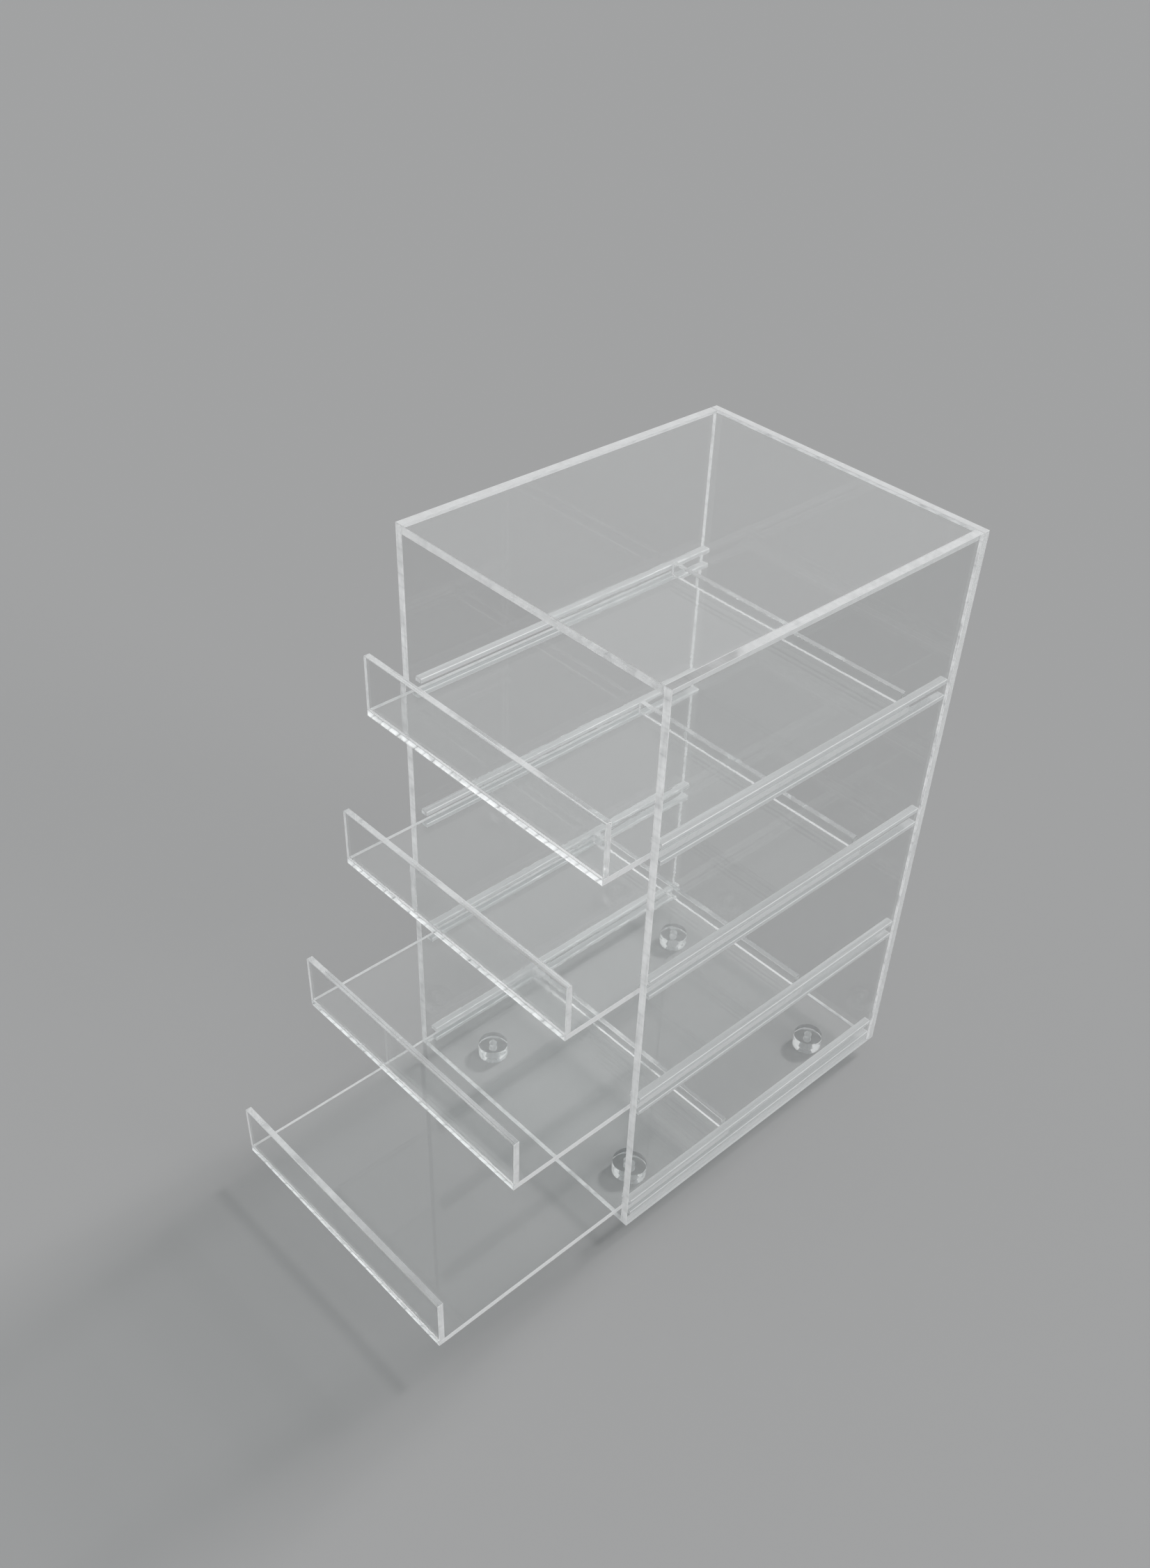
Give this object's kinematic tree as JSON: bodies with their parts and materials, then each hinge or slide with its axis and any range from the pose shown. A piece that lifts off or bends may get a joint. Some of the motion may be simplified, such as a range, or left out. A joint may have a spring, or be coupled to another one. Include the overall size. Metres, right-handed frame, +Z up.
{
  "type": "clear tray cabinet",
  "caption": "Clear sheet cabinet, open at the front, with pull-out trays that slide between glued runner strips, standing on small round feet.",
  "frame": {"origin": "on the floor, under the middle of the whole object with its trays pulled out as stored", "axes": "+Z up, front (the way the trays pull out) towards -Y, +X to the right for someone looking at the back"},
  "size_m": [0.2, 0.379, 0.4],
  "materials": {
    "clear_sheet": "clear, polished faces and dull sawn edges",
    "clear_strip": "clear, polished faces and dull sawn edges",
    "clear_foot": "clear, polished"
  },
  "bodies": {
    "cabinet": {"left_panel": "clear_sheet", "right_panel": "clear_sheet", "top_panel": "clear_sheet", "bottom_panel": "clear_sheet", "back_panel": "clear_sheet", "runner_1_left_upper": "clear_strip", "runner_1_left_lower": "clear_strip", "runner_1_right_upper": "clear_strip", "runner_1_right_lower": "clear_strip", "runner_2_left_upper": "clear_strip", "runner_2_left_lower": "clear_strip", "runner_2_right_upper": "clear_strip", "runner_2_right_lower": "clear_strip", "runner_3_left_upper": "clear_strip", "runner_3_left_lower": "clear_strip", "runner_3_right_upper": "clear_strip", "runner_3_right_lower": "clear_strip", "runner_4_left_upper": "clear_strip", "runner_4_left_lower": "clear_strip", "runner_4_right_upper": "clear_strip", "runner_4_right_lower": "clear_strip", "foot_front_left": "clear_foot", "foot_front_right": "clear_foot", "foot_back_left": "clear_foot", "foot_back_right": "clear_foot"},
    "tray_1": {"tray_1_base": "clear_sheet", "tray_1_front_lip": "clear_sheet", "tray_1_rear_lip": "clear_sheet"},
    "tray_2": {"tray_2_base": "clear_sheet", "tray_2_front_lip": "clear_sheet", "tray_2_rear_lip": "clear_sheet"},
    "tray_3": {"tray_3_base": "clear_sheet", "tray_3_front_lip": "clear_sheet", "tray_3_rear_lip": "clear_sheet"},
    "tray_4": {"tray_4_base": "clear_sheet", "tray_4_front_lip": "clear_sheet", "tray_4_rear_lip": "clear_sheet"}
  },
  "joints": [
    {"name": "tray_1_slide", "type": "slide", "parent": "cabinet", "child": "tray_1", "axis": [0, -1, 0], "range_m": [-0.03, 0.13]},
    {"name": "tray_2_slide", "type": "slide", "parent": "cabinet", "child": "tray_2", "axis": [0, -1, 0], "range_m": [-0.051, 0.109]},
    {"name": "tray_3_slide", "type": "slide", "parent": "cabinet", "child": "tray_3", "axis": [0, -1, 0], "range_m": [-0.085, 0.075]},
    {"name": "tray_4_slide", "type": "slide", "parent": "cabinet", "child": "tray_4", "axis": [0, -1, 0], "range_m": [-0.139, 0.021]}
  ]
}
